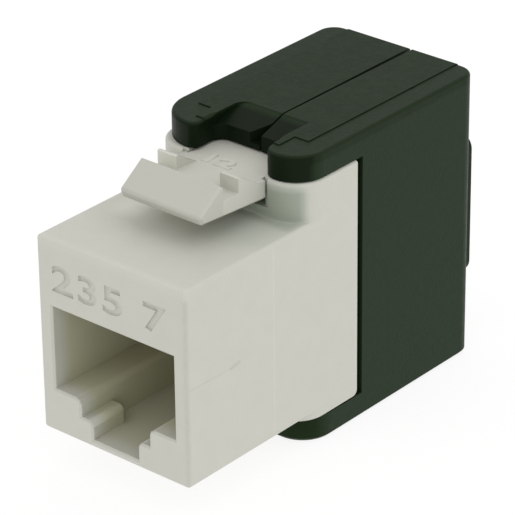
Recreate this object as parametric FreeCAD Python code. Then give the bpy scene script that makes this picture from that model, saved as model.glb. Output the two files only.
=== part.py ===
import FreeCAD, Part
import math
import os

# Tool-less keystone jack: a moulded front housing with a plug port, a spring latch
# and rear hinge knuckles; contacts, circuit board and wire block inside it; and two
# doors that swing on vertical pegs and press the wires home as they close.
#
# Construction axes: X across, Y back from the port's front face, Z up from the
# underside of the housing's neck. place() moves the finished solids so that the
# origin is the centre of the footprint, on the surface that the jack stands on.

V = FreeCAD.Vector

# ---- housing -------------------------------------------------------------------
HOUSING_W = 14.5          # neck and rear block, side to side
NECK_H = 16.2             # neck, underside to top
BLOCK_Y = 12.65           # front of the taller rear block
BLOCK_END_Y = 19.45       # rear of the block's side walls
BLOCK_RISE = 3.15         # rear block above the neck
BLOCK_DROP = 0.62         # rear block below the neck
BLOCK_CORNER_R = 2.65     # vertical corners round the hinge knuckles
HOUSING_WALL = 1.35       # side walls of the rear bay
EDGE_R = 0.3              # outer edges of the neck
BLOCK_EDGE_R = 0.3        # block's top edge, front and sides
BLOCK_REAR_R = 0.25       # its rear edge, above
BLOCK_FOOT_R = 0.5        # and below

# ---- plug port -----------------------------------------------------------------
PORT_W = 11.9
PORT_FLOOR_Z = 3.65
PORT_TOP_Z = 10.6
PORT_DEPTH = 12.0
STEP_R = 0.5              # corners of the steps beside the latch slot
PORT_MOUTH_BEVEL = 0.15   # broken edge round the mouth
WIDE_SLOT_W = 6.8         # upper step of the latch slot
WIDE_SLOT_H = 1.5
NARROW_SLOT_W = 4.5       # lower step of the latch slot
SLOT_FLOOR_Z = 0.6
CATCH_DEPTH = 3.4         # ledges that hold the plug's latch

# ---- latch ---------------------------------------------------------------------
LATCH_W = 7.86
LATCH_NOSE_Y = 5.4
LATCH_NOSE_Z = 18.8
LATCH_TIP_Y = 5.8
LATCH_TIP_Z = 18.1
LATCH_NOSE_R = 0.35       # rounded front of the wedge
RIDGE_Y = 7.85            # top of the snap wedge
RIDGE_Z = 20.5
RIDGE_CROWN = 0.15        # flat cut off the wedge's top edge
PANEL_SLOT = 1.75         # room for the panel between wedge and stops
ARM_TOP_Z = 19.25
ARM_BOTTOM_Z = 17.6
STOP_W = 1.8              # each panel stop, across
STOP_RISE = 1.15
STOP_LEN = 2.3
STOP_CREST = 0.25         # flat on top of each stop
TAIL_W = 7.0              # arm where it enters the block
TAIL_START_Y = 12.75
LATCH_PIVOT_Y = 16.0
LATCH_PIVOT_Z = 18.3
LATCH_ROOT_R = 1.0
LATCH_GAP = 0.2           # slits beside the arm's tail
LATCH_ROOM = 0.6          # free space under it
LATCH_BEVEL = 0.2         # broken edges at the wedge's ends
TAIL_DROP = 0.1           # tail's top, below the head's

# ---- hook under the neck, behind the panel's lower edge --------------------------
HOOK_DROP = 1.2
HOOK_T = 0.6
LIP_DROP = 0.45           # small lip in front of the panel
LIP_LEN = 1.4

# ---- doors ---------------------------------------------------------------------
HINGE_INSET = 2.05        # hinge axis, in from the housing's side
HINGE_Y = 15.15
HORN_W = 4.1              # front end of each door arm, side to side
HORN_Y = 12.95
HORN_INNER_R = 0.65
HORN_FLAT = 0.05          # between its inner and outer rounds
RIGHT_HORN_W = 3.9        # right door's upper horn
RIGHT_HORN_Y = 12.87
RIGHT_HORN_INNER_R = 1.3
BASE_HORN_Y = 13.45       # lower arms stop a little shorter
BASE_HORN_INNER_R = 0.8
BASE_HORN_FLAT = 0.5
PEG_R = 1.0
PEG_LEN = 1.2
HINGE_FIT = 0.05          # radial clearance of the peg in its socket
DOOR_FIT = 0.08           # door arms over and under the rear block
TOP_ARM_T = 2.05
BOTTOM_ARM_T = 2.12
DOOR_SIDE_T = 1.3
DOOR_BACK_T = 1.4
DOOR_REAR_Y = 34.1
DOOR_SLIT = 0.55          # gap behind the block's side walls
DOOR_CORNER_R = 1.5       # vertical rear corners
DOOR_EDGE_R = 0.3         # rim above
DOOR_BASE_BEVEL = 0.3     # rim below
SEAM_X = 0.85             # meeting line of the doors, right of centre
SEAM_GAP = 0.14           # between the doors at the scoop
SEAM_GAP_REAR = 0.34
SCOOP_Y = 15.85           # finger scoop between the horns, over the latch's tail
SCOOP_END_Y = 18.5
SCOOP_DROP = 0.8
SCOOP_CORNER_R = 1.0
SCOOP_REAR_R = 1.0        # left door's rear corner of the scoop
NOTCH_LEN = 1.4           # left door's notch beside the seam
NOTCH_W = 0.95
NOTCH_LIP = 0.45          # thickness left under it
BAND_W = 1.9              # flat band along the outer edge of the top
BAND_FRONT_W = 3.2        # and its wider part, on the horn
BAND_Y = 16.0
FIELD_RISE = 0.08         # rest of the top, above the band
FIELD_Y = 14.2            # its front end, on the horn
BOSS_W = 12.3             # raised pad round the cable hole
BOSS_H = 12.0
BOSS_T = 0.9
BOSS_CORNER_R = 1.1
CABLE_R = 3.25
CABLE_Z = 9.25

# ---- insides -------------------------------------------------------------------
FIT = 0.08                # parts pressed together on assembly
BAY_BOTTOM_Z = 1.2
BAY_TOP_Z = 15.5
CARRIER_T = 2.0           # contact carrier behind the port
CARRIER_RISE = 2.9        # carrier's top above the port's
TONGUE_Y = 2.4            # carrier's tongue reaches forward to here
TONGUE_T = 1.5
TONGUE_W = 9.4
CONTACT_PITCH = 1.016
CONTACT_COUNT = 8
CONTACT_W = 0.4
CONTACT_T = 0.25
CONTACT_RISE = 0.4        # contacts run this far above the port's top
CONTACT_FRONT_Y = 3.9
CONTACT_BEND_R = 0.45
CONTACT_TIP_Y = 10.3
CONTACT_REACH = 2.3       # and their tips hang this far below it
CONTACT_GROOVE = 0.55
BOARD_T = 1.0
BOARD_GAP = 0.15
PAD_HOLE = 0.6            # square holes for the contacts' tails

WIRE_SPACE = 2.65         # from the housing's side in to the wire block's
WIRE_BLOCK_END_Y = 31.0
WIRE_BLOCK_FLANGE_T = 1.2
WIRE_BLOCK_MARGIN = 1.5   # block above the top row and below the bottom row
ROW_NEAR = 2.7            # wire rows, from the cable's centre
ROW_FAR = 5.3
WIRE_GROOVE_H = 1.3
WIRE_GROOVE_DEPTH = 2.6
WIRE_NOSE = 1.6           # rear edges fall away for the wires
PAIR_POCKET_R = 2.6       # hollow where the pairs spread
BLADE_T = 0.5
BLADE_H = 2.1
BLADE_SLOT = 0.35         # between the two tines
BLADE_ROOT_X = 1.0
BLADE_BASE = 0.9
BLADE_TINE_INSET = 0.25   # tines stop short of the block's side
BLADE_NEAR_Y = 23.4
BLADE_FAR_Y = 27.0
LEG_T = 0.5
LEG_H = 0.7
PRESSER_T = 0.8           # ribs in the doors that push the wires home
PRESSER_GAP = 0.5         # rib stops short of the groove's floor
PRESSER_BLADE_GAP = 0.8   # notch for each blade
PRESSER_START_Y = 21.3
PRESSER_END_Y = 29.6

# ---- worked out ----------------------------------------------------------------
HALF_W = HOUSING_W / 2
BLOCK_TOP_Z = NECK_H + BLOCK_RISE
BLOCK_BOTTOM_Z = -BLOCK_DROP
BAY_HALF_W = HALF_W - HOUSING_WALL
HINGE_X = HALF_W - HINGE_INSET
CARRIER_END_Y = PORT_DEPTH + CARRIER_T
CARRIER_TOP_Z = PORT_TOP_Z + CARRIER_RISE
CONTACT_Z = PORT_TOP_Z + CONTACT_RISE
CONTACT_TIP_Z = PORT_TOP_Z - CONTACT_REACH
BOARD_Y = CARRIER_END_Y + BOARD_GAP
BOARD_END_Y = BOARD_Y + BOARD_T
WIRE_BLOCK_Y = BOARD_END_Y + BOARD_GAP
WIRE_BLOCK_W = HOUSING_W - 2 * WIRE_SPACE
STOP_Y = RIDGE_Y + RIDGE_CROWN + PANEL_SLOT
DOOR_TOP_Z = BLOCK_TOP_Z + DOOR_FIT + TOP_ARM_T
DOOR_BOTTOM_Z = BLOCK_BOTTOM_Z - DOOR_FIT - BOTTOM_ARM_T
DOOR_FRONT_Y = BLOCK_END_Y + DOOR_SLIT
HORN_INNER_X = HALF_W - HORN_W
RIGHT_HORN_INNER_X = HALF_W - RIGHT_HORN_W
BAND_X = HALF_W - BAND_W
BAND_FRONT_X = HALF_W - BAND_FRONT_W
DEPTH = DOOR_REAR_Y + BOSS_T
ROWS = [CABLE_Z - ROW_FAR, CABLE_Z - ROW_NEAR, CABLE_Z + ROW_NEAR, CABLE_Z + ROW_FAR]
WIRE_BLOCK_BOTTOM_Z = ROWS[0] - WIRE_BLOCK_MARGIN
WIRE_BLOCK_TOP_Z = ROWS[-1] + WIRE_BLOCK_MARGIN
BLADE_YS = [BLADE_NEAR_Y, BLADE_FAR_Y, BLADE_NEAR_Y, BLADE_FAR_Y]


# ---- helpers -------------------------------------------------------------------
def box(x0, x1, y0, y1, z0, z1):
    """A box between two corners."""
    return Part.makeBox(x1 - x0, y1 - y0, z1 - z0, V(x0, y0, z0))


def cylinder(r, start, end):
    """A cylinder from one point to another."""
    axis = end - start
    return Part.makeCylinder(r, axis.Length, start, axis)


def wire_of(points):
    """A closed wire of straight edges."""
    return Part.makePolygon(list(points) + [points[0]])


def prism_x(outline, x0, x1):
    """Extrude a (y, z) outline along X."""
    face = Part.Face(wire_of([V(x0, y, z) for y, z in outline]))
    return face.extrude(V(x1 - x0, 0, 0))


def prism_z(outline, z0, z1):
    """Extrude an (x, y) outline along Z."""
    face = Part.Face(wire_of([V(x, y, z0) for x, y in outline]))
    return face.extrude(V(0, 0, z1 - z0))


def edges_where(shape, test):
    """The edges whose end points all satisfy test."""
    found = []
    for edge in shape.Edges:
        if edge.Vertexes and all(test(v.Point) for v in edge.Vertexes):
            found.append(edge)
    return found


def near(a, b):
    return abs(a - b) < 1e-4


def edges_along_y(shape):
    """The straight edges that run front to back."""
    return [e for e in shape.Edges if near(abs(e.tangentAt(e.FirstParameter).y), 1)]


def round_z_edges(shape, corners, r):
    """Round the vertical edges that stand at the given (x, y) corners."""
    found = []
    for cx, cy in corners:
        found += edges_where(shape, lambda p: near(p.x, cx) and near(p.y, cy))
    return shape.makeFillet(r, found)


def mirror_x(shape):
    return shape.mirror(V(0, 0, 0), V(1, 0, 0))


def union(first, *others):
    return first.fuse(list(others)).removeSplitter()


def cut(shape, *tools):
    return shape.cut(list(tools))


def contact_xs():
    """Centres of the contacts across the port."""
    middle = (CONTACT_COUNT - 1) / 2
    return [(i - middle) * CONTACT_PITCH for i in range(CONTACT_COUNT)]


def blade_places():
    """(side, y, z) of every blade: four rows on each side of the block."""
    return [(side, y, z) for side in (-1, 1) for y, z in zip(BLADE_YS, ROWS)]


# ---- front housing -------------------------------------------------------------
def housing_shell():
    """Neck and taller rear block, with the rounded knuckles as its corners."""
    neck = box(-HALF_W, HALF_W, 0, BLOCK_Y + BLOCK_CORNER_R, 0, NECK_H)
    front = [e for e in neck.Edges if all(near(v.Point.y, 0) for v in e.Vertexes)]
    along = edges_where(neck, lambda p: near(abs(p.x), HALF_W))
    along = [e for e in along if abs(e.Vertexes[0].Point.y - e.Vertexes[-1].Point.y) > 1]
    neck = neck.makeFillet(EDGE_R, front + along)
    block = box(-HALF_W, HALF_W, BLOCK_Y, BLOCK_END_Y, BLOCK_BOTTOM_Z, BLOCK_TOP_Z)
    side_view = block
    for z, r in ((BLOCK_TOP_Z, BLOCK_REAR_R), (BLOCK_BOTTOM_Z, BLOCK_FOOT_R)):
        rear = edges_where(side_view, lambda p: near(p.z, z) and near(p.y, BLOCK_END_Y))
        side_view = side_view.makeFillet(r, rear)
    block = round_z_edges(block, [(-HALF_W, BLOCK_Y), (HALF_W, BLOCK_Y)], BLOCK_CORNER_R)
    top_front = edges_where(block, lambda p: near(p.z, BLOCK_TOP_Z) and near(p.y, BLOCK_Y))
    block = block.makeFillet(BLOCK_EDGE_R, top_front)
    return union(neck, block.common(side_view))


def port_cutter():
    """Stepped plug opening, with ledges that the plug's latch snaps behind."""
    main = box(-PORT_W / 2, PORT_W / 2, -1, PORT_DEPTH, PORT_FLOOR_Z, PORT_TOP_Z)
    wide_z = PORT_FLOOR_Z - WIDE_SLOT_H
    wide = box(-WIDE_SLOT_W / 2, WIDE_SLOT_W / 2, -1, PORT_DEPTH, wide_z, PORT_FLOOR_Z)
    narrow = box(-NARROW_SLOT_W / 2, NARROW_SLOT_W / 2, -1, PORT_DEPTH,
                 SLOT_FLOOR_Z, wide_z)
    mouth = union(main, wide, narrow)
    steps = edges_where(mouth, lambda p: near(abs(p.x), WIDE_SLOT_W / 2) and near(p.z, PORT_FLOOR_Z)
                        or near(abs(p.x), NARROW_SLOT_W / 2) and near(p.z, wide_z))
    mouth = mouth.makeFillet(STEP_R, steps)
    behind = box(-WIDE_SLOT_W / 2, WIDE_SLOT_W / 2, CATCH_DEPTH, PORT_DEPTH,
                 SLOT_FLOOR_Z, wide_z)
    return union(mouth, behind)


def soften_mouth(body):
    """Break the edge round the plug opening."""
    rim = edges_where(body, lambda p: near(p.y, 0) and abs(p.x) < PORT_W / 2 + STEP_R
                      and SLOT_FLOOR_Z - STEP_R < p.z < PORT_TOP_Z + STEP_R)
    return body.makeChamfer(PORT_MOUTH_BEVEL, rim)


def latch_pocket():
    """Slot in the rear block for the latch's tail, with a round seat at its end."""
    half = TAIL_W / 2 + LATCH_GAP
    floor_z = ARM_BOTTOM_Z - LATCH_ROOM
    slot = box(-half, half, BLOCK_Y - 1, LATCH_PIVOT_Y, floor_z, BLOCK_TOP_Z + 1)
    mouth_half = LATCH_W / 2 + LATCH_GAP
    mouth = box(-mouth_half, mouth_half, BLOCK_Y - 1, TAIL_START_Y + LATCH_GAP,
                floor_z, BLOCK_TOP_Z + 1)
    seat = cylinder(LATCH_ROOT_R + HINGE_FIT, V(-half, LATCH_PIVOT_Y, LATCH_PIVOT_Z),
                    V(half, LATCH_PIVOT_Y, LATCH_PIVOT_Z))
    return union(slot, mouth, seat)


def rear_bay():
    """Space for the carrier, board and wire block, open at the rear."""
    bay = box(-BAY_HALF_W, BAY_HALF_W, PORT_DEPTH, BLOCK_END_Y + 1,
              BAY_BOTTOM_Z, BAY_TOP_Z)
    tongue = box(-TONGUE_W / 2 - FIT, TONGUE_W / 2 + FIT, TONGUE_Y - FIT, PORT_DEPTH + 1,
                 PORT_TOP_Z - 0.5, PORT_TOP_Z + TONGUE_T + FIT)
    return union(bay, tongue)


def hinge_sockets(z_open, z_end):
    """Blind round sockets for the door pegs, on both sides."""
    r = PEG_R + HINGE_FIT
    return [cylinder(r, V(side * HINGE_X, HINGE_Y, z_open), V(side * HINGE_X, HINGE_Y, z_end))
            for side in (-1, 1)]


def bottom_hook():
    """Fixed hook under the neck that goes behind the panel's lower edge."""
    end_y = BLOCK_Y + HOOK_T
    hook = [(STOP_Y, HOOK_T), (STOP_Y, -HOOK_DROP), (STOP_Y + HOOK_T, -HOOK_DROP),
            (end_y, -BLOCK_DROP / 2), (end_y, HOOK_T)]
    lip_y = STOP_Y - PANEL_SLOT
    lip = [(lip_y, LIP_DROP), (lip_y, -LIP_DROP), (lip_y - LIP_LEN, 0),
           (lip_y - LIP_LEN, LIP_DROP)]
    half = NARROW_SLOT_W / 2
    return union(prism_x(hook, -half, half), prism_x(lip, -half, half))


def front_housing():
    body = union(housing_shell(), bottom_hook())
    peg_room = PEG_LEN + 0.2
    top = hinge_sockets(BLOCK_TOP_Z + 1, BLOCK_TOP_Z - peg_room)
    bottom = hinge_sockets(BLOCK_BOTTOM_Z - 1, BLOCK_BOTTOM_Z + peg_room)
    body = soften_mouth(cut(body, port_cutter()))
    return cut(body, rear_bay(), latch_pocket(), *top, *bottom)


# ---- latch ---------------------------------------------------------------------
def latch_arm():
    """Cantilever with a snap wedge, two ribbed panel stops and a tail."""
    half = LATCH_W / 2
    slope = (RIDGE_Z - LATCH_NOSE_Z) / (RIDGE_Y - LATCH_NOSE_Y)
    crown = RIDGE_CROWN
    tail_top = ARM_TOP_Z - TAIL_DROP
    profile = [(LATCH_TIP_Y, LATCH_TIP_Z), (LATCH_NOSE_Y, LATCH_NOSE_Z),
               (RIDGE_Y - crown, RIDGE_Z - crown * slope), (RIDGE_Y, RIDGE_Z),
               (RIDGE_Y + crown, RIDGE_Z - crown), (RIDGE_Y + crown, ARM_TOP_Z),
               (TAIL_START_Y, tail_top), (TAIL_START_Y, ARM_BOTTOM_Z)]
    head = prism_x(profile, -half, half)
    nose = edges_where(head, lambda p: near(p.y, LATCH_NOSE_Y) and near(p.z, LATCH_NOSE_Z))
    head = head.makeFillet(LATCH_NOSE_R, nose)
    ends = [e for e in head.Edges if near(abs(e.Vertexes[0].Point.x), half)
            and near(e.Vertexes[0].Point.x, e.Vertexes[-1].Point.x)
            and min(v.Point.y for v in e.Vertexes) < RIDGE_Y - 1]
    head = head.makeChamfer(LATCH_BEVEL, ends)
    tail_half = TAIL_W / 2
    tail = prism_x([(TAIL_START_Y - 1, ARM_BOTTOM_Z), (TAIL_START_Y - 1, tail_top),
                    (TAIL_START_Y, tail_top),
                    (LATCH_PIVOT_Y, LATCH_PIVOT_Z + LATCH_ROOT_R),
                    (LATCH_PIVOT_Y, LATCH_PIVOT_Z - LATCH_ROOT_R)], -tail_half, tail_half)
    root = cylinder(LATCH_ROOT_R, V(-tail_half, LATCH_PIVOT_Y, LATCH_PIVOT_Z),
                    V(tail_half, LATCH_PIVOT_Y, LATCH_PIVOT_Z))
    arm = union(head, tail, root)
    sunk_z = ARM_TOP_Z - STOP_RISE / 2
    stop = prism_x([(STOP_Y, sunk_z), (STOP_Y, ARM_TOP_Z + STOP_RISE),
                    (STOP_Y + STOP_CREST, ARM_TOP_Z + STOP_RISE),
                    (STOP_Y + STOP_LEN, tail_top), (STOP_Y + STOP_LEN, sunk_z)],
                   half - STOP_W, half)
    return union(arm, stop, mirror_x(stop))


# ---- inside the housing --------------------------------------------------------
def contact_carrier():
    """Comb that holds the contacts: an upright wall and a grooved tongue."""
    wall = box(-BAY_HALF_W + FIT, BAY_HALF_W - FIT, PORT_DEPTH, CARRIER_END_Y,
               BAY_BOTTOM_Z + FIT, CARRIER_TOP_Z)
    tongue = box(-TONGUE_W / 2, TONGUE_W / 2, TONGUE_Y, PORT_DEPTH + 0.5,
                 PORT_TOP_Z, PORT_TOP_Z + TONGUE_T)
    body = union(wall, tongue)
    half = CONTACT_GROOVE / 2
    grooves = [box(x - half, x + half, TONGUE_Y + 0.6, CARRIER_END_Y + 1,
                   PORT_TOP_Z - 0.5, CONTACT_Z + CONTACT_T / 2 + FIT) for x in contact_xs()]
    body = cut(body, *grooves)
    plug_z = PORT_TOP_Z
    comb = [box(x - half, x + half, PORT_DEPTH - 1, CARRIER_END_Y + 1,
                plug_z - 1, CONTACT_Z - CONTACT_T / 2) for x in contact_xs()]
    return cut(body, *comb)


def contact(x):
    """Spring contact: along the tongue, round a bend, then down and back."""
    r = CONTACT_BEND_R
    rise = CONTACT_Z - CONTACT_TIP_Z
    run = CONTACT_TIP_Y - CONTACT_FRONT_Y
    down = math.atan2(rise - 2 * r, run - r)
    centre = V(x, CONTACT_FRONT_Y + r, CONTACT_Z - r)
    top = V(x, centre.y, CONTACT_Z)
    nose = V(x, CONTACT_FRONT_Y, centre.z)
    low = V(x, centre.y - r * math.sin(down), centre.z - r * math.cos(down))
    tip = V(x, CONTACT_TIP_Y, low.z - (CONTACT_TIP_Y - low.y) * math.tan(down))
    tail = V(x, BOARD_END_Y + 0.1, CONTACT_Z)
    path = Part.Wire([Part.LineSegment(tail, top).toShape(),
                      Part.Arc(top, nose, low).toShape(),
                      Part.LineSegment(low, tip).toShape()])
    w, t = CONTACT_W / 2, CONTACT_T / 2
    section = wire_of([V(x - w, tail.y, CONTACT_Z - t), V(x + w, tail.y, CONTACT_Z - t),
                       V(x + w, tail.y, CONTACT_Z + t), V(x - w, tail.y, CONTACT_Z + t)])
    return path.makePipeShell([section], True, False)


def circuit_board():
    """Upright board between the contacts and the blades."""
    inset = FIT + 0.15
    board = box(-BAY_HALF_W + inset, BAY_HALF_W - inset, BOARD_Y, BOARD_END_Y,
                BAY_BOTTOM_Z + inset, BAY_TOP_Z - inset)
    pad = PAD_HOLE / 2
    holes = [box(x - pad, x + pad, BOARD_Y - 1, BOARD_END_Y + 1,
                 CONTACT_Z - pad, CONTACT_Z + pad) for x in contact_xs()]
    holes += [leg_box(side, z, BOARD_Y - 1, BOARD_END_Y + 1, FIT)
              for side, _, z in blade_places()]
    return cut(board, *holes)


def leg_box(side, z, y0, y1, gap):
    """The strip that ties a blade to the board."""
    x0 = BLADE_ROOT_X - gap
    x1 = BLADE_ROOT_X + LEG_T + gap
    lo, hi = sorted((side * x0, side * x1))
    return box(lo, hi, y0, y1, z - LEG_H / 2 - gap, z + LEG_H / 2 + gap)


def blade_outline(gap):
    """Fork with a slot that narrows from its mouth, as (x, z)."""
    x0 = BLADE_ROOT_X - gap
    x1 = WIRE_BLOCK_W / 2 - BLADE_TINE_INSET
    half = BLADE_H / 2 + gap
    return x0, x1, half


def idc_blade(side, y, z):
    """Insulation-displacement fork with its leg to the board."""
    x0, x1, half = blade_outline(0)
    slot = BLADE_SLOT / 2
    points = [(x0, -half), (x1 - 0.4, -half), (x1, -half + 0.3), (x1, -slot - 0.35),
              (x1 - 0.7, -slot), (x0 + BLADE_BASE, -slot), (x0 + BLADE_BASE, slot),
              (x1 - 0.7, slot), (x1, slot + 0.35), (x1, half - 0.3), (x1 - 0.4, half),
              (x0, half)]
    if side < 0:
        points = [(-x, dz) for x, dz in points]
    face = Part.Face(wire_of([V(x, y - BLADE_T / 2, z + dz) for x, dz in points]))
    fork = face.extrude(V(0, BLADE_T, 0))
    leg = leg_box(side, z, BOARD_Y + BOARD_T / 2, y, 0)
    return union(fork, leg)


def wire_block():
    """Block with four open wire rows on each side and a slot for every blade."""
    half = WIRE_BLOCK_W / 2
    plug = box(-BAY_HALF_W + FIT, BAY_HALF_W - FIT, WIRE_BLOCK_Y, BLOCK_END_Y,
               BAY_BOTTOM_Z + FIT, BAY_TOP_Z - FIT)
    plan = [(-half, WIRE_BLOCK_Y + 1), (half, WIRE_BLOCK_Y + 1),
            (half, WIRE_BLOCK_END_Y - WIRE_NOSE * 2), (half - WIRE_NOSE, WIRE_BLOCK_END_Y),
            (WIRE_NOSE - half, WIRE_BLOCK_END_Y), (-half, WIRE_BLOCK_END_Y - WIRE_NOSE * 2)]
    block = prism_z(plan, WIRE_BLOCK_BOTTOM_Z, WIRE_BLOCK_TOP_Z)
    block = cut(block, box(-half - 1, half + 1, 0, BLOCK_END_Y, BAY_TOP_Z - FIT, BLOCK_TOP_Z + 1))
    body = union(plug, block)
    cutters = []
    for side in (-1, 1):
        for z in ROWS:
            lo, hi = sorted((side * (half - WIRE_GROOVE_DEPTH), side * (half + 2)))
            cutters.append(box(lo, hi, BLOCK_END_Y + WIRE_BLOCK_FLANGE_T,
                               WIRE_BLOCK_END_Y + 1,
                               z - WIRE_GROOVE_H / 2, z + WIRE_GROOVE_H / 2))
    for side, y, z in blade_places():
        x0, x1, reach = blade_outline(FIT / 2)
        lo, hi = sorted((side * x0, side * (half + 1)))
        grow = BLADE_T / 2 + FIT / 2
        cutters.append(box(lo, hi, y - grow, y + grow, z - reach, z + reach))
        cutters.append(leg_box(side, z, WIRE_BLOCK_Y - 1, y, FIT / 2))
    cutters.append(cylinder(PAIR_POCKET_R, V(0, WIRE_BLOCK_END_Y - WIRE_NOSE, CABLE_Z),
                            V(0, WIRE_BLOCK_END_Y + 1, CABLE_Z)))
    return cut(body, *cutters)


# ---- doors ---------------------------------------------------------------------
def seam_x(side, y):
    """The door's meeting edge; the gap between the doors widens to the rear."""
    share = (y - SCOOP_Y) / (DOOR_REAR_Y - SCOOP_Y)
    gap = SEAM_GAP + (SEAM_GAP_REAR - SEAM_GAP) * share
    return SEAM_X + side * gap / 2


def arc(start, end, centre, r):
    """A quarter arc through the point between its ends."""
    towards = (start + end) / 2 - centre
    return Part.Arc(start, centre + towards * (r / towards.Length), end)


def upper_horn(side):
    """Width, front, inner radius and outer radius of the horn on a door's top arm."""
    if side < 0:
        w, y, r = HORN_W, HORN_Y, HORN_INNER_R
    else:
        w, y, r = RIGHT_HORN_W, RIGHT_HORN_Y, RIGHT_HORN_INNER_R
    return w, y, r, w - r - HORN_FLAT


def lower_horn():
    """The same of the horn on a door's bottom arm."""
    w, r = HORN_W, BASE_HORN_INNER_R
    return w, BASE_HORN_Y, r, w - r - BASE_HORN_FLAT


def door_plan(side, horn, z):
    """Top view of one door: horn, seam edge and rounded rear corner."""
    horn_w, horn_y, in_r, out_r = horn
    outer = side * HALF_W
    inner = side * (HALF_W - horn_w)
    r, foot_r = DOOR_CORNER_R, SCOOP_CORNER_R
    rear = [V(outer, DOOR_REAR_Y - r, z), V(outer - side * r, DOOR_REAR_Y, z)]
    seam = [V(seam_x(side, DOOR_REAR_Y), DOOR_REAR_Y, z), V(seam_x(side, SCOOP_Y), SCOOP_Y, z)]
    foot = [V(inner - side * foot_r, SCOOP_Y, z), V(inner, SCOOP_Y - foot_r, z)]
    nose = [V(inner, horn_y + in_r, z), V(inner + side * in_r, horn_y, z)]
    cheek = [V(outer - side * out_r, horn_y, z), V(outer, horn_y + out_r, z)]
    line = Part.LineSegment
    edges = [line(cheek[1], rear[0]),
             arc(*rear, V(rear[1].x, rear[0].y, z), r),
             line(rear[1], seam[0]),
             line(*seam),
             line(seam[1], foot[0]),
             arc(*foot, V(foot[0].x, foot[1].y, z), foot_r),
             line(foot[1], nose[0]),
             arc(*nose, V(nose[1].x, nose[0].y, z), in_r),
             line(nose[1], cheek[0]),
             arc(*cheek, V(cheek[0].x, cheek[1].y, z), out_r)]
    return Part.Wire([e.toShape() for e in edges])


def outer_rim(slab, z, horn):
    """Edges of the rim at z, without those at the seam and between the horns."""
    between = HALF_W - horn[0] + horn[2] / 2

    def is_outer(edge):
        middle = edge.CenterOfMass
        return abs(middle.x) > between or middle.y > DOOR_REAR_Y - 1
    return [e for e in edges_where(slab, lambda p: near(p.z, z)) if is_outer(e)]


def upper_half(side, top_z, base_z):
    """Door from base_z up to a rounded rim at top_z."""
    horn = upper_horn(side)
    slab = Part.Face(door_plan(side, horn, top_z)).extrude(V(0, 0, base_z - top_z))
    return slab.makeFillet(DOOR_EDGE_R, outer_rim(slab, top_z, horn))


def field_area():
    """Top of both doors inside the band along their outer edges."""
    floor_z = DOOR_TOP_Z - DOOR_EDGE_R
    rear = box(-BAND_X, BAND_X, BAND_Y, DOOR_REAR_Y + 1, floor_z, DOOR_TOP_Z + 1)
    front = box(-BAND_FRONT_X, BAND_FRONT_X, FIELD_Y, BAND_Y, floor_z, DOOR_TOP_Z + 1)
    return union(rear, front)


def door_blank(side):
    """Upper and lower halves, which differ only at the horns and at the rim."""
    middle_z = (DOOR_TOP_Z + DOOR_BOTTOM_Z) / 2
    band = upper_half(side, DOOR_TOP_Z, middle_z)
    field = upper_half(side, DOOR_TOP_Z + FIELD_RISE, middle_z).common(field_area())
    horn = lower_horn()
    lower = Part.Face(door_plan(side, horn, DOOR_BOTTOM_Z))
    lower = lower.extrude(V(0, 0, middle_z - DOOR_BOTTOM_Z))
    lower = lower.makeChamfer(DOOR_BASE_BEVEL, outer_rim(lower, DOOR_BOTTOM_Z, horn))
    return union(band, field, lower)


def door_hollow(side):
    """Room inside the door, open to the front between its arms."""
    z0 = BLOCK_BOTTOM_Z - DOOR_FIT
    z1 = BLOCK_TOP_Z + DOOR_FIT
    inner = side * (HALF_W - DOOR_SIDE_T)
    past_seam = SEAM_X - side * 1.0
    lo, hi = sorted((inner, past_seam))
    inside = box(lo, hi, DOOR_FRONT_Y - 1, DOOR_REAR_Y - DOOR_BACK_T, z0, z1)
    lo, hi = sorted((side * (HALF_W + 1), past_seam))
    front = box(lo, hi, 0, DOOR_FRONT_Y, z0, z1)
    return union(inside, front)


def scoop():
    """Sloped finger scoop between the horns, with the left door's notch in its floor."""
    floor_z = DOOR_TOP_Z - SCOOP_DROP
    start_y = SCOOP_Y - 2
    above_z = DOOR_TOP_Z + 1
    slope = [(start_y, floor_z), (SCOOP_Y, floor_z), (SCOOP_END_Y, DOOR_TOP_Z + FIELD_RISE),
             (SCOOP_END_Y, above_z), (start_y, above_z)]
    left, right = -HORN_INNER_X, RIGHT_HORN_INNER_X
    walls = box(left, right, start_y, SCOOP_END_Y, floor_z, above_z)
    walls = round_z_edges(walls, [(left, SCOOP_END_Y)], SCOOP_REAR_R)
    dish = prism_x(slope, left, right).common(walls)
    notch_y = SCOOP_Y + NOTCH_LEN
    tip_x = seam_x(-1, notch_y)
    plan = [(tip_x, notch_y), (tip_x - NOTCH_W, SCOOP_Y), (tip_x - NOTCH_W, start_y),
            (SEAM_X, start_y), (SEAM_X, notch_y)]
    notch = prism_z(plan, BLOCK_TOP_Z + DOOR_FIT + NOTCH_LIP, above_z)
    return union(dish, notch)


def rear_boss(side):
    """Half of the raised pad round the cable hole."""
    half_w, half_h = BOSS_W / 2, BOSS_H / 2
    pad = box(-half_w, half_w, DOOR_REAR_Y - 0.5, DEPTH, CABLE_Z - half_h, CABLE_Z + half_h)
    pad = pad.makeFillet(BOSS_CORNER_R, edges_along_y(pad))
    lo, hi = sorted((seam_x(side, DOOR_REAR_Y), side * HOUSING_W))
    return pad.common(box(lo, hi, 0, DEPTH + 1, DOOR_BOTTOM_Z, DOOR_TOP_Z))


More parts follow.
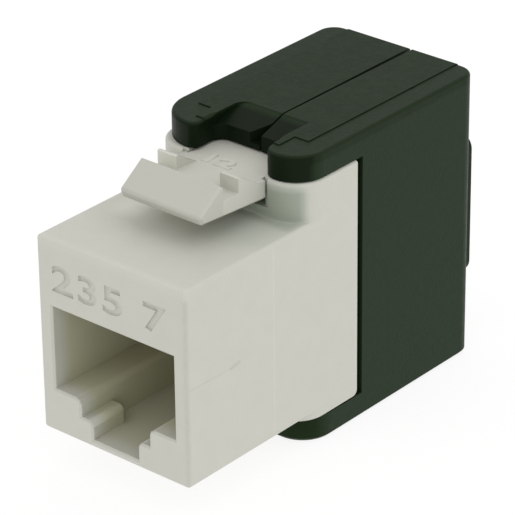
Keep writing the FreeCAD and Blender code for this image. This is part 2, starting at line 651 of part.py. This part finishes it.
def pressers(side):
    """Ribs on the door's inner wall that push the wires into the blades."""
    wall_x = HALF_W - DOOR_SIDE_T
    tip_x = WIRE_BLOCK_W / 2 - WIRE_GROOVE_DEPTH + PRESSER_GAP
    ribs = []
    for y, z in zip(BLADE_YS, ROWS):
        lo, hi = sorted((side * tip_x, side * (wall_x + 0.5)))
        rib = box(lo, hi, PRESSER_START_Y, PRESSER_END_Y, z - PRESSER_T / 2, z + PRESSER_T / 2)
        lo, hi = sorted((side * (tip_x - 1), side * (WIRE_BLOCK_W / 2 + PRESSER_GAP)))
        half = BLADE_T / 2 + PRESSER_BLADE_GAP
        slot = box(lo, hi, y - half, y + half, z - 1, z + 1)
        ribs.append(cut(rib, slot))
    return ribs


def door_pegs(side):
    """Pegs that turn in the housing's sockets, one on each arm."""
    x = side * HINGE_X
    top = cylinder(PEG_R, V(x, HINGE_Y, BLOCK_TOP_Z + DOOR_FIT + 0.5),
                   V(x, HINGE_Y, BLOCK_TOP_Z - PEG_LEN))
    bottom = cylinder(PEG_R, V(x, HINGE_Y, BLOCK_BOTTOM_Z - DOOR_FIT - 0.5),
                      V(x, HINGE_Y, BLOCK_BOTTOM_Z + PEG_LEN))
    return [top, bottom]


def door(side):
    """One door: C-shaped shell with horns, pegs, pressers and half the cable hole."""
    shell = cut(door_blank(side), door_hollow(side), scoop())
    shell = union(shell, rear_boss(side), *door_pegs(side), *pressers(side))
    hole = cylinder(CABLE_R, V(0, DOOR_REAR_Y - DOOR_BACK_T - 1, CABLE_Z),
                    V(0, DEPTH + 1, CABLE_Z))
    return cut(shell, hole)


# ---- assembly ------------------------------------------------------------------
def place(shape):
    """Move a solid from the construction axes to the part's own frame."""
    moved = shape.copy()
    moved.translate(V(0, -DEPTH / 2, -DOOR_BOTTOM_Z))
    return moved


def build():
    parts = {
        "front_housing": front_housing(),
        "latch_arm": latch_arm(),
        "contact_carrier": contact_carrier(),
        "circuit_board": circuit_board(),
        "wire_block": wire_block(),
        "left_door": door(-1),
        "right_door": door(1),
    }
    for number, x in enumerate(contact_xs(), 1):
        parts[f"contact_{number}"] = contact(x)
    for number, spot in enumerate(blade_places(), 1):
        parts[f"idc_blade_{number}"] = idc_blade(*spot)
    return parts


os.makedirs("parts", exist_ok=True)
for name, solid in build().items():
    place(solid).exportStep(f"parts/{name}.step")
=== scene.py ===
import math

import bmesh
import bpy
from mathutils import Matrix, Vector


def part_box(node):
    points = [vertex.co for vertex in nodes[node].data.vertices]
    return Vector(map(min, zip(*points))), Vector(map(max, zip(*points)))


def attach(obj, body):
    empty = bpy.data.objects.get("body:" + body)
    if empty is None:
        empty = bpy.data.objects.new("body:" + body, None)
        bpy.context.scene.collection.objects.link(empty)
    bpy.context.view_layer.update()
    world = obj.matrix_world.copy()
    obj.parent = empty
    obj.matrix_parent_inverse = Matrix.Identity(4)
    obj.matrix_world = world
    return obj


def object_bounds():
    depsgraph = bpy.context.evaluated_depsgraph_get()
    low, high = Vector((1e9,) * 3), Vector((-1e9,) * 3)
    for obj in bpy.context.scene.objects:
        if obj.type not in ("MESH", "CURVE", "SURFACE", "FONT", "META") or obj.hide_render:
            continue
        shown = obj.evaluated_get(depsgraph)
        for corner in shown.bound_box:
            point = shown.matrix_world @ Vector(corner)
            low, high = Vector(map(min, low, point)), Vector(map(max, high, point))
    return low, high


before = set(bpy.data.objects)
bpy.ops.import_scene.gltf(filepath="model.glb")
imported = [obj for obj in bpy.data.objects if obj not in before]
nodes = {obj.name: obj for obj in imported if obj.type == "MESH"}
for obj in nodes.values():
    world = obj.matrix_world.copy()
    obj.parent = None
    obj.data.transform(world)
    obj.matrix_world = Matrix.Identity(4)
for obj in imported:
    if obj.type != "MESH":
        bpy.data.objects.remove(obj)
cad_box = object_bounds()
MM = 0.001
PLAIN_WHITE = (1.0, 1.0, 1.0)
RANGE_SOCKETS = ("From Min", "From Max", "To Min", "To Max")

# ---- camera ----------------------------------------------------------------------
CAMERA_AZIMUTH = 40.652
CAMERA_ELEVATION = 27.409
CAMERA_ROLL = -0.674
CAMERA_DISTANCE = 0.244411
CAMERA_LENS = 227.23
CAMERA_SENSOR = 36.0
CAMERA_AIM = Vector((0.001155, -0.0025, 0.013808))

# ---- light -----------------------------------------------------------------------
SKY_HORIZON = 0.74
SKY_ZENITH = 1.165
SKY_LEAN = 0.18             # brighter towards +X, as from a window
FLOOR_SIZE = 4.0
FLOOR_GLOW = 0.86
FLOOR_GLOW_TINT = (1.0, 1.0, 0.995)
FLOOR_ALBEDO = 0.16

# ---- edges, millimetres and degrees ----------------------------------------------
WELD = 0.002
FLAT_ANGLE = 0.5
BEVEL_ANGLE = 35.0
BEVEL_STEPS = 3
EDGE_WIDTH = {
    "front_housing": 0.08,
    "latch_arm": 0.05,
    "contact_carrier": 0.08,
    "circuit_board": 0.03,
    "wire_block": 0.08,
    "left_door": 0.04,
    "right_door": 0.04,
}
METAL_EDGE = 0.03           # contacts and blades

# ---- numbers on the mouldings, millimetres and degrees ---------------------------
FRONT_MARK = "235 7"        # plain number, where a jack carries its marking
FRONT_MARK_H = 2.3
FRONT_MARK_W = 11.2
FRONT_MARK_DEPTH = 0.17
FRONT_MARK_AT = (-0.2, 0, 13.1)
FRONT_MARK_CUT = {"wall": 0.15, "rim": 0.03, "swell": -0.008}
ARM_MARK = "12"             # mould cavity's number on the latch
ARM_MARK_H = 1.4
ARM_MARK_W = 2.7
ARM_MARK_RISE = 0.11
ARM_MARK_AT = (-0.6, 13.0, 19.162)
ARM_MARK_CUT = {"wall": 0.02, "rim": 0.04, "swell": 0.01}
ARM_SLOPE = 2.64            # the arm's top rises towards its root
DIGIT_SPACING = 1.12

# ---- places on the part ----------------------------------------------------------
SIDE_X = 7.25               # the neck's sides, either way from the middle
NECK_TOP = 16.2
NECK_REAR = 12.0            # where the neck meets the rear block
HOOK_DROP = 1.2             # the hook's foot, below the neck's underside
HOUSING_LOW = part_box("front_housing")[0]
ZERO = Vector((0, HOUSING_LOW.y, HOUSING_LOW.z + HOOK_DROP * MM))


def spot(x, y, z):
    """Point in metres, from millimetres off the port's face and the neck's underside."""
    return ZERO + Vector((x, y, z)) * MM


# ==== materials ===================================================================
class Graph:
    """A material's node tree, with short calls to add and join its nodes."""

    def __init__(self, name):
        self.material = bpy.data.materials.new(name)
        self.material.use_nodes = True
        self.tree = self.material.node_tree
        self.shader = self.tree.nodes["Principled BSDF"]
        self.place = self.add("ShaderNodeTexCoord").outputs["Object"]

    def add(self, kind, **settings):
        node = self.tree.nodes.new(kind)
        for name, value in settings.items():
            setattr(node, name, value)
        return node

    def join(self, source, target):
        self.tree.links.new(source, target)

    def feed(self, socket, value):
        """Set a socket to a number or a colour, or join another node's output to it."""
        if isinstance(value, (int, float)):
            socket.default_value = value
        elif isinstance(value, tuple):
            socket.default_value = (*value, 1.0)
        else:
            self.join(value, socket)

    def noise(self, size, detail=2.0, roughness=0.5, stretch=(1, 1, 1)):
        """Noise over the object's own coordinates; size is one blotch in millimetres."""
        mapping = self.add("ShaderNodeMapping")
        mapping.inputs["Scale"].default_value = [s / (size * MM) for s in stretch]
        self.join(self.place, mapping.inputs["Vector"])
        node = self.add("ShaderNodeTexNoise")
        node.inputs["Scale"].default_value = 1.0
        node.inputs["Detail"].default_value = detail
        node.inputs["Roughness"].default_value = roughness
        self.join(mapping.outputs["Vector"], node.inputs["Vector"])
        return node.outputs["Fac"]

    def ramp(self, value, *stops):
        """Colour ramp between two stops, each (position, colour)."""
        node = self.add("ShaderNodeValToRGB")
        for element, (position, color) in zip(node.color_ramp.elements, stops):
            element.position = position
            element.color = (*color, 1.0)
        self.join(value, node.inputs["Fac"])
        return node.outputs["Color"]

    def span(self, value, low, high, to_low, to_high):
        node = self.add("ShaderNodeMapRange")
        for name, number in zip(RANGE_SOCKETS, (low, high, to_low, to_high)):
            node.inputs[name].default_value = number
        self.join(value, node.inputs["Value"])
        return node.outputs["Result"]

    def mix(self, factor, a, b):
        """Colour a where the factor is 0, b where it is 1."""
        node = self.add("ShaderNodeMix", data_type="RGBA")
        for socket, value in zip((node.inputs[0], node.inputs[6], node.inputs[7]), (factor, a, b)):
            self.feed(socket, value)
        return node.outputs[2]

    def multiply(self, a, b):
        node = self.add("ShaderNodeMath", operation="MULTIPLY")
        self.feed(node.inputs[0], a)
        self.feed(node.inputs[1], b)
        return node.outputs[0]

    def bump(self, height, distance, strength=1.0):
        node = self.add("ShaderNodeBump")
        node.inputs["Strength"].default_value = strength
        node.inputs["Distance"].default_value = distance * MM
        self.join(height, node.inputs["Height"])
        return node.outputs["Normal"]

    def set(self, **values):
        """Feed the shader's own sockets, named with _ for a space."""
        for name, value in values.items():
            self.feed(self.shader.inputs[name.replace("_", " ")], value)


def moulded_plastic(name, light, dark, roughness, specular, grain,
                    grain_size=0.12, gloss_tint=PLAIN_WHITE, marks_and_painted_shading=()):
    """Injection-moulded plastic: cloudy tone, fine spark-eroded grain, uneven gloss.

    grain is the grain's height and grain_size its width, in millimetres. The last argument holds
    (mask maker, colour) pairs, some the mould's own marks and some painted light and shade: each mask
    is 1 where its colour shows."""
    g = Graph(name)
    clouds = g.noise(1.8, detail=4.0, roughness=0.6)
    color = g.ramp(clouds, (0.32, dark), (0.68, light))
    for mask, tint in marks_and_painted_shading:
        color = g.mix(mask(g), color, tint)
    g.set(Base_Color=color)
    g.set(Roughness=g.span(g.noise(0.6, detail=2.0), 0.3, 0.7, roughness - 0.03, roughness + 0.03))
    fine = g.noise(grain_size, detail=3.0, roughness=0.65)
    g.set(Normal=g.bump(fine, grain), Specular_IOR_Level=specular, Specular_Tint=gloss_tint)
    return g.material


def line_mask(start, end, width, strength, breakup=0.6):
    """Mask maker: a hairline between two spots, broken up along its length."""
    def make(g):
        along = end - start
        parts = g.add("ShaderNodeVectorMath", operation="SUBTRACT")
        g.join(g.place, parts.inputs[0])
        parts.inputs[1].default_value = start
        dot = g.add("ShaderNodeVectorMath", operation="DOT_PRODUCT")
        g.join(parts.outputs[0], dot.inputs[0])
        dot.inputs[1].default_value = along / along.length_squared
        share = g.span(dot.outputs["Value"], 0.0, 1.0, 0.0, 1.0)
        foot = g.add("ShaderNodeVectorMath", operation="SCALE")
        foot.inputs[0].default_value = along
        g.join(share, foot.inputs["Scale"])
        gap = g.add("ShaderNodeVectorMath", operation="DISTANCE")
        g.join(parts.outputs[0], gap.inputs[0])
        g.join(foot.outputs[0], gap.inputs[1])
        line = g.span(gap.outputs["Value"], 0.0, width * MM, strength, 0.0)
        return g.multiply(line, g.span(g.noise(0.8), 0.35, 0.65, 1.0 - breakup, 1.0))
    return make


def box_mask(low, high, blur, strength=1.0):
    """Mask maker: strength inside the box between two spots, fading over blur outside it."""
    def make(g):
        place = g.add("ShaderNodeSeparateXYZ")
        g.join(g.place, place.inputs[0])
        mask = strength
        for axis in range(3):
            value = place.outputs[axis]
            rise = g.span(value, low[axis] - blur * MM, low[axis], 0.0, 1.0)
            fall = g.span(value, high[axis], high[axis] + blur * MM, 1.0, 0.0)
            mask = g.multiply(mask, g.multiply(rise, fall))
        return mask
    return make


def metal(name, light, dark, roughness):
    g = Graph(name)
    drawn = g.noise(0.5, detail=3.0, stretch=(6, 1, 1))
    g.set(Base_Color=g.ramp(drawn, (0.3, dark), (0.7, light)))
    g.set(Roughness=g.span(g.noise(0.3), 0.3, 0.7, roughness - 0.06, roughness + 0.08))
    g.set(Normal=g.bump(drawn, 0.004, 0.6), Metallic=1.0)
    return g.material


def board_laminate(name):
    """Green solder mask over a faint woven laminate with copper showing under the mask."""
    g = Graph(name)
    weave = g.noise(0.35, detail=1.0, stretch=(1, 1, 5))
    tracks = g.noise(1.4, detail=0.0, stretch=(1, 1, 0.4))
    mask = g.ramp(weave, (0.35, (0.010, 0.070, 0.028)), (0.65, (0.014, 0.095, 0.036)))
    track = g.ramp(tracks, (0.47, (0.0, 0.0, 0.0)), (0.53, (1.0, 1.0, 1.0)))
    g.set(Base_Color=g.mix(track, mask, (0.022, 0.135, 0.045)), Roughness=0.32)
    g.set(Normal=g.bump(track, 0.02, 0.5))
    return g.material


# Lines left by the mould on the housing, then painted highlights and painted shade along its outer
# edges.
SEAM_LINE = line_mask(spot(SIDE_X, 9.66, 0.5), spot(SIDE_X, 9.66, 15.8), 0.07, 0.75)
FLOW_LINE = line_mask(spot(SIDE_X, 0.1, 8.12), spot(SIDE_X, 4.9, 8.02), 0.09, 0.55)
FLOW_END = line_mask(spot(SIDE_X, 4.8, 8.02), spot(SIDE_X, 5.7, 8.16), 0.26, 0.55, 0.3)
# Painted highlights along the neck's top front edge and its top right side edge.
FRONT_EDGE_PAINTED_HIGHLIGHT = line_mask(spot(-SIDE_X, 0, NECK_TOP), spot(SIDE_X, 0, NECK_TOP), 0.9, 1.0, 0.2)
SIDE_EDGE_PAINTED_HIGHLIGHT = line_mask(spot(SIDE_X, 0, NECK_TOP), spot(SIDE_X, 10, NECK_TOP), 0.8, 0.3, 0.2)
# Painted shade: a darker line down the neck's front right corner.
CORNER_PAINTED_SHADE = line_mask(spot(SIDE_X, 0, 0.3), spot(SIDE_X, 0, 15.2), 0.36, 0.8, 0.4)

# Painted light and shade on the housing: under the latch, beside its root and in the port.
# Painted shade on the neck's top under the right half of the latch.
NECK_PAINTED_SHADE = box_mask(spot(2.8, 9.0, 15.9), spot(5.5, 12.4, 16.25), 1.8, 0.9)
# Painted light: the neck's top under the left half of the latch, lighter than the plastic.
NECK_PAINTED_LIGHT = box_mask(spot(-5, 7.4, 15.9), spot(0.0, 9.0, 16.25), 1.6)
# Painted shade on the rear block's front, right of the latch's root, deepest low down.
ROOT_PAINTED_SHADE = box_mask(spot(0.5, 12.0, 16.4), spot(6.3, 13.6, 19.0), 0.7, 0.8)
ROOT_LOW_PAINTED_SHADE = box_mask(spot(1.5, 12.2, 16.5), spot(6.5, 13.8, 18.5), 0.6, 0.95)
# Painted shade inside the port: darker and yellower than the plastic.
PORT_PAINTED_SHADE = box_mask(spot(-5.9, 1.9, 1), spot(5.9, 30, 10.7), 1.2)

# Painted light and shade on the latch: shade on its snap wedge, a highlight on the front of its left
# stop.
# Painted shade on the snap wedge, a little darker than the plastic.
RIDGE_PAINTED_SHADE = box_mask(spot(-8, 5, 17), spot(8, 7.95, 21), 0.15)
# Painted highlight: a lighter strip on the front of the left stop.
STOP_PAINTED_HIGHLIGHT = box_mask(spot(-4.1, 9.65, 19.3), spot(-1.9, 9.78, 20.6), 0.05)

# The doors: painted light and shade on the band, the step beside the raised field, the scoop and the
# right side, and a small pit.
# Painted light: the band beside the raised field, a little lighter.
RIM_BAND_PAINTED_LIGHT = box_mask(spot(-8, 12, 21.2), spot(8, 36, 21.484), 0.004)
# Painted highlight along the step between the raised field and the band on the right door.
BAND_STEP_PAINTED_HIGHLIGHT = box_mask(spot(5.6, 19.5, 21.49), spot(8, 36, 21.55), 0.004)
# Painted shade in the scoop and on the horns' fronts.
SCOOP_PAINTED_SHADE = box_mask(spot(-6.6, 12, 17.5), spot(7.0, 18.2, 21.3), 0.15)
# Painted light: the right door's right side is lighter.
SIDE_PAINTED_LIGHT = box_mask(spot(SIDE_X - 0.05, 13.5, -4), spot(SIDE_X + 1, 36, 20.6), 0.3)
# Painted shade: a small pit drawn as a dark spot, with no hollow cut.
PIT_PAINTED_SHADE = line_mask(spot(5.44, 28.05, 21.55), spot(5.44, 28.5, 21.55), 0.16, 1.0, 0.0)

WHITE = moulded_plastic(
    "white_moulding", (0.566, 0.566, 0.505), (0.550, 0.550, 0.489),
    roughness=0.46, specular=0.35, grain=0.002,
    # The seam and flow lines are the mould's own; the rest are painted light and shade.
    marks_and_painted_shading=(
        (SEAM_LINE, (0.66, 0.66, 0.60)),
        (FLOW_LINE, (0.40, 0.40, 0.34)),
        (FLOW_END, (0.40, 0.40, 0.34)),
        (FRONT_EDGE_PAINTED_HIGHLIGHT, (0.590, 0.590, 0.525)),
        (SIDE_EDGE_PAINTED_HIGHLIGHT, (0.570, 0.570, 0.505)),
        (CORNER_PAINTED_SHADE, (0.45, 0.45, 0.39)),
        (NECK_PAINTED_SHADE, (0.50, 0.525, 0.46)),
        (NECK_PAINTED_LIGHT, (0.69, 0.68, 0.605)),
        (ROOT_PAINTED_SHADE, (0.45, 0.475, 0.415)),
        (ROOT_LOW_PAINTED_SHADE, (0.312, 0.35, 0.285)),
        (PORT_PAINTED_SHADE, (0.50, 0.50, 0.36)),
    ),
)
LATCH = moulded_plastic(
    "latch_moulding", (0.570, 0.568, 0.506), (0.556, 0.554, 0.492),
    roughness=0.48, specular=0.35, grain=0.002,
    # Both are painted: shade on the snap wedge, a highlight on the left stop.
    marks_and_painted_shading=((RIDGE_PAINTED_SHADE, (0.510, 0.510, 0.450)), (STOP_PAINTED_HIGHLIGHT, (0.71, 0.71, 0.63))),
)
CARRIER = moulded_plastic(
    "carrier_moulding", (0.42, 0.42, 0.36), (0.38, 0.38, 0.32),
    roughness=0.5, specular=0.35, grain=0.003,
)
BLACK = moulded_plastic(
    "black_moulding", (0.0084, 0.0200, 0.0060), (0.0064, 0.0160, 0.0044),
    roughness=0.44, specular=0.10, grain=0.02, grain_size=0.16, gloss_tint=(0.95, 1.0, 0.78),
    # All of these are painted light and shade.
    marks_and_painted_shading=(
        (RIM_BAND_PAINTED_LIGHT, (0.0105, 0.0215, 0.0085)),
        (BAND_STEP_PAINTED_HIGHLIGHT, (0.085, 0.105, 0.078)),
        (SCOOP_PAINTED_SHADE, (0.0030, 0.0085, 0.0026)),
        (SIDE_PAINTED_LIGHT, (0.0132, 0.0262, 0.0115)),
        (PIT_PAINTED_SHADE, (0.001, 0.002, 0.001)),
    ),
)
BLOCK = moulded_plastic(
    "block_moulding", (0.006, 0.010, 0.006), (0.004, 0.007, 0.004),
    roughness=0.5, specular=0.2, grain=0.004,
)
GOLD = metal("gold_plating", (0.86, 0.62, 0.22), (0.74, 0.50, 0.15), 0.24)
TIN = metal("tin_plating", (0.72, 0.71, 0.68), (0.58, 0.57, 0.55), 0.32)
BOARD = board_laminate("board_laminate")

FINISH = {
    "front_housing": WHITE,
    "latch_arm": LATCH,
    "contact_carrier": CARRIER,
    "circuit_board": BOARD,
    "wire_block": BLOCK,
    "left_door": BLACK,
    "right_door": BLACK,
}


# ==== moulded edges on the carried-over solids ======================================
def weigh_edges(node, usual, places):
    """Store a bevel weight on every sharp edge: usual, or a place's own inside its box.

    places are (low spot, high spot, weight), later ones overruling earlier ones."""
    tree = bpy.data.node_groups.new(node.name + "_edges", "GeometryNodeTree")
    tree.interface.new_socket("Geometry", in_out="INPUT", socket_type="NodeSocketGeometry")
    tree.interface.new_socket("Geometry", in_out="OUTPUT", socket_type="NodeSocketGeometry")

    def math_node(operation, *inputs):
        made = tree.nodes.new("ShaderNodeMath")
        made.operation = operation
        for socket, value in zip(made.inputs, inputs):
            if isinstance(value, (int, float)):
                socket.default_value = value
            else:
                tree.links.new(value, socket)
        return made.outputs[0]

    angle = tree.nodes.new("GeometryNodeInputMeshEdgeAngle")
    sharp = math_node("GREATER_THAN", angle.outputs[0], math.radians(BEVEL_ANGLE))
    split = tree.nodes.new("ShaderNodeSeparateXYZ")
    tree.links.new(tree.nodes.new("GeometryNodeInputPosition").outputs[0], split.inputs[0])
    weight = usual
    for low, high, own in places:
        inside = 1.0
        for axis in range(3):
            over = math_node("GREATER_THAN", split.outputs[axis], low[axis])
            under = math_node("LESS_THAN", split.outputs[axis], high[axis])
            inside = math_node("MULTIPLY", inside, math_node("MULTIPLY", over, under))
        change = math_node("SUBTRACT", own, weight)
        weight = math_node("ADD", weight, math_node("MULTIPLY", inside, change))
    weight = math_node("MULTIPLY", weight, sharp)
    store = tree.nodes.new("GeometryNodeStoreNamedAttribute")
    store.domain = "EDGE"
    store.inputs["Name"].default_value = "bevel_weight_edge"
    tree.links.new(weight, store.inputs["Value"])
    tree.links.new(tree.nodes.new("NodeGroupInput").outputs[0], store.inputs["Geometry"])
    tree.links.new(store.outputs["Geometry"], tree.nodes.new("NodeGroupOutput").inputs[0])
    node.modifiers.new("weights", "NODES").node_group = tree


def soften_edges(node, width, kind, places, cutter):
    """Break the sharp edges of a CAD solid, as a mould leaves them, and cut it if asked.

    kind is the bevel's offset type; places set other widths, in millimetres."""
    weld = node.modifiers.new("weld", "WELD")
    weld.merge_threshold = WELD * MM
    flat = node.modifiers.new("flat", "DECIMATE")
    flat.decimate_type = "DISSOLVE"
    flat.angle_limit = math.radians(FLAT_ANGLE)
    widest = max([width] + [own for _, _, own in places])
    weigh_edges(node, width / widest, [(low, high, own / widest) for low, high, own in places])
    bevel = node.modifiers.new("edges", "BEVEL")
    bevel.width = widest * MM
    bevel.segments = BEVEL_STEPS
    bevel.limit_method = "WEIGHT"
    bevel.offset_type = kind
    bevel.use_clamp_overlap = False
    if cutter is not None:
        cut = node.modifiers.new("cut", "BOOLEAN")
        cut.operation = "DIFFERENCE"
        cut.solver = "FAST"
        cut.object = cutter
    normals = node.modifiers.new("normals", "WEIGHTED_NORMAL")
    normals.keep_sharp = True


def number_mesh(name, text, width, height, thickness, wall, rim, swell):
    """Plain digits as a solid slab in the XY plane, round the origin.

    wall, rim and swell are in text heights: the straight and the rounded part of its
    thickness, and how much wider its strokes are."""
    curve = bpy.data.curves.new(name, "FONT")
    curve.body = text
    curve.resolution_u = 4
    curve.space_character = DIGIT_SPACING
    curve.offset = swell
    curve.extrude = wall
    curve.bevel_depth = rim
    curve.bevel_resolution = 2
    helper = bpy.data.objects.new(name, curve)
    mesh = bpy.data.meshes.new_from_object(helper)
    bpy.data.objects.remove(helper)
    shell = bmesh.new()
    shell.from_mesh(mesh)
    bmesh.ops.remove_doubles(shell, verts=shell.verts, dist=1e-5)
    bmesh.ops.recalc_face_normals(shell, faces=shell.faces)
    low, high = [Vector([pick(v.co[axis] for v in shell.verts) for axis in range(3)])
                 for pick in (min, max)]
    wanted = Vector((width, height, thickness)) * MM
    scale = Vector([wanted[axis] / (high - low)[axis] for axis in range(3)])
    for vertex in shell.verts:
        vertex.co = (vertex.co - (low + high) / 2) * scale
    shell.to_mesh(mesh)
    shell.free()
    return mesh


def front_cutter():
    """Hidden solid that engraves the front number."""
    mesh = number_mesh(
        "front_number", FRONT_MARK, FRONT_MARK_W, FRONT_MARK_H, 2 * FRONT_MARK_DEPTH, **FRONT_MARK_CUT)
    upright = Matrix.Rotation(math.radians(90), 4, "X")
    mesh.transform(Matrix.Translation(spot(*FRONT_MARK_AT)) @ upright)
    cutter = bpy.data.objects.new("front_number_cutter", mesh)
    bpy.context.scene.collection.objects.link(cutter)
    cutter.hide_render = True
    cutter.display_type = "WIRE"
    return cutter


def arm_number():
    """Raised mould number on top of the latch's arm, moving with it."""
    mesh = number_mesh(
        "arm_number", ARM_MARK, ARM_MARK_W, ARM_MARK_H, 2 * ARM_MARK_RISE, **ARM_MARK_CUT)
    tilt = Matrix.Rotation(math.radians(ARM_SLOPE), 4, "X")
    mesh.transform(Matrix.Translation(spot(*ARM_MARK_AT)) @ tilt)
    mesh.materials.append(LATCH)
    number = bpy.data.objects.new("arm_number", mesh)
    bpy.context.scene.collection.objects.link(number)
    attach(number, "latch")


# Edge widths that differ from their piece's own, in millimetres: the neck's outer corners
# are rounder than the rest, and the port's rim, the latch's ends and the field stay sharp.
FIELD_EDGES = ((spot(-8, 11, 21.4), spot(8, 36, 22), 0.0),)
EDGE_PLACES = {
    "front_housing": (
        (spot(-8, -1, -1), spot(8, 0.05, 17), 0.28),
        (spot(-8, -1, NECK_TOP - 0.05), spot(8, NECK_REAR, NECK_TOP + 0.05), 0.28),
        (spot(-8, -1, 1), spot(8, 0.05, 15), 0.45),
        (spot(-6.4, -1, 0.1), spot(6.4, NECK_REAR, 10.9), 0.0),
    ),
    "latch_arm": (
        (spot(-8, -1, 10), spot(-3.6, 16, 30), 0.0),
        (spot(3.6, -1, 10), spot(8, 16, 30), 0.0),
    ),
    "left_door": FIELD_EDGES,
    "right_door": FIELD_EDGES,
}
BEVEL_KIND = {"left_door": "ABSOLUTE", "right_door": "ABSOLUTE"}


def finish_of(name):
    if name.startswith("contact_") and name != "contact_carrier":
        return GOLD
    if name.startswith("idc_blade"):
        return TIN
    return FINISH[name]


for name, node in nodes.items():
    node.data.materials.clear()
    node.data.materials.append(finish_of(name))
    soften_edges(
        node,
        EDGE_WIDTH.get(name, METAL_EDGE),
        BEVEL_KIND.get(name, "OFFSET"),
        EDGE_PLACES.get(name, ()),
        front_cutter() if name == "front_housing" else None,
    )
arm_number()


# ==== stage, light and camera =======================================================
def make_floor():
    bpy.ops.mesh.primitive_plane_add(size=FLOOR_SIZE, location=(0, 0, cad_box[0][2]))
    floor = bpy.context.object
    floor.name = "floor"
    g = Graph("floor_paper")
    fibres = g.noise(6.0, detail=4.0)
    tone = g.ramp(fibres, (0.3, (FLOOR_ALBEDO * 0.98,) * 3), (0.7, (FLOOR_ALBEDO,) * 3))
    g.set(Base_Color=tone, Roughness=0.9, Specular_IOR_Level=0.0)
    g.set(Emission_Color=FLOOR_GLOW_TINT, Emission_Strength=FLOOR_GLOW)
    floor.data.materials.append(g.material)


def make_sky():
    """Soft white dome, brighter overhead and towards +X."""
    world = bpy.data.worlds.new("tent")
    bpy.context.scene.world = world
    world.use_nodes = True
    tree = world.node_tree
    direction = tree.nodes.new("ShaderNodeTexCoord")
    parts = tree.nodes.new("ShaderNodeSeparateXYZ")
    tree.links.new(direction.outputs["Generated"], parts.inputs[0])

    def fade(axis, start, low, high):
        """Strength from low to high as one axis of the direction goes from start to 1."""
        node = tree.nodes.new("ShaderNodeMapRange")
        for name, number in zip(RANGE_SOCKETS, (start, 1.0, low, high)):
            node.inputs[name].default_value = number
        tree.links.new(parts.outputs[axis], node.inputs["Value"])
        return node.outputs["Result"]

    both = tree.nodes.new("ShaderNodeMath")
    both.operation = "MULTIPLY"
    tree.links.new(fade("Z", 0.0, SKY_HORIZON, SKY_ZENITH), both.inputs[0])
    tree.links.new(fade("X", -1.0, 1.0 - SKY_LEAN, 1.0 + SKY_LEAN), both.inputs[1])
    background = tree.nodes["Background"]
    tree.links.new(both.outputs[0], background.inputs["Strength"])
    background.inputs["Color"].default_value = (*PLAIN_WHITE, 1.0)


def make_camera():
    az, el = math.radians(CAMERA_AZIMUTH), math.radians(CAMERA_ELEVATION)
    back = Vector((math.sin(az) * math.cos(el), -math.cos(az) * math.cos(el), math.sin(el)))
    data = bpy.data.cameras.new("camera")
    data.lens = CAMERA_LENS
    data.sensor_width = CAMERA_SENSOR
    data.clip_start, data.clip_end = 0.01, 10.0
    camera = bpy.data.objects.new("camera", data)
    bpy.context.scene.collection.objects.link(camera)
    turn = (-back).to_track_quat("-Z", "Y").to_matrix().to_4x4()
    roll = Matrix.Rotation(math.radians(CAMERA_ROLL), 4, "Z")
    camera.matrix_world = Matrix.Translation(CAMERA_AIM + back * CAMERA_DISTANCE) @ turn @ roll
    bpy.context.scene.camera = camera


make_floor()
make_sky()
make_camera()
bpy.context.scene.view_settings.view_transform = "Standard"
